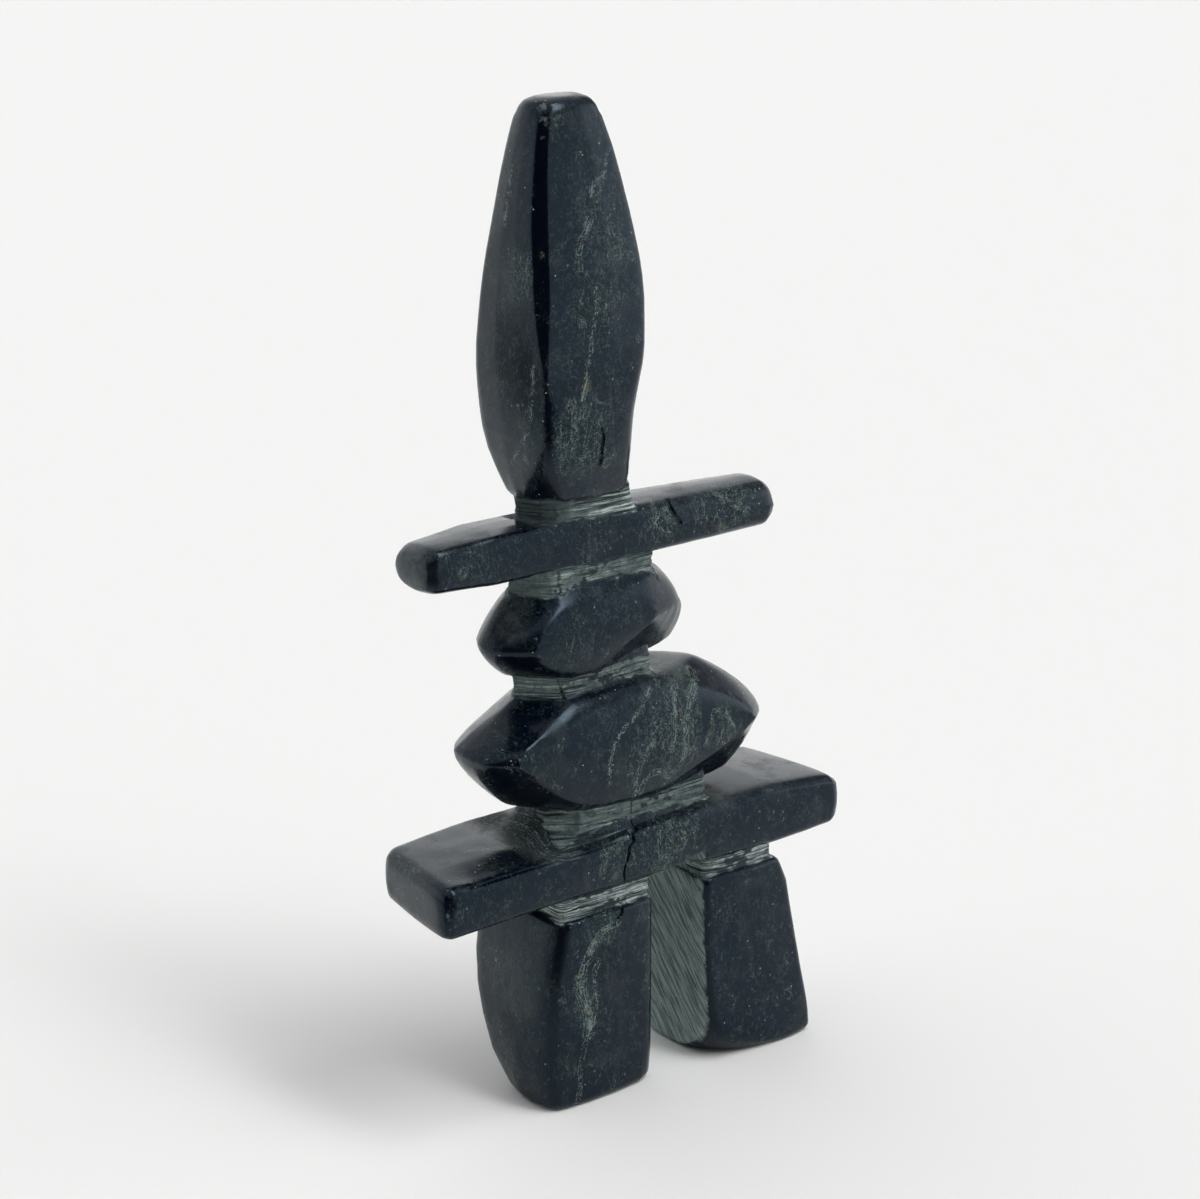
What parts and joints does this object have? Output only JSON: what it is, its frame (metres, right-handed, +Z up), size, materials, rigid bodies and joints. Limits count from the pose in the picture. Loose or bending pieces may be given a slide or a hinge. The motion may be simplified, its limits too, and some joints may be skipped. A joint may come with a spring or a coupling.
{
  "type": "inukshuk sculpture",
  "caption": "Standing inukshuk figure of stacked stones, carved in one piece from dark polished serpentine, resting on its two legs.",
  "frame": {"origin": "on the floor under the middle of the figure", "axes": "+Z up, +X to the figure's right side as seen from the front, -Y towards the front"},
  "size_m": [0.155, 0.0518, 0.303],
  "materials": {
    "serpentine": "polished, with rough pale necks"
  },
  "bodies": {
    "root": {"inukshuk": "serpentine"}
  },
  "joints": []
}
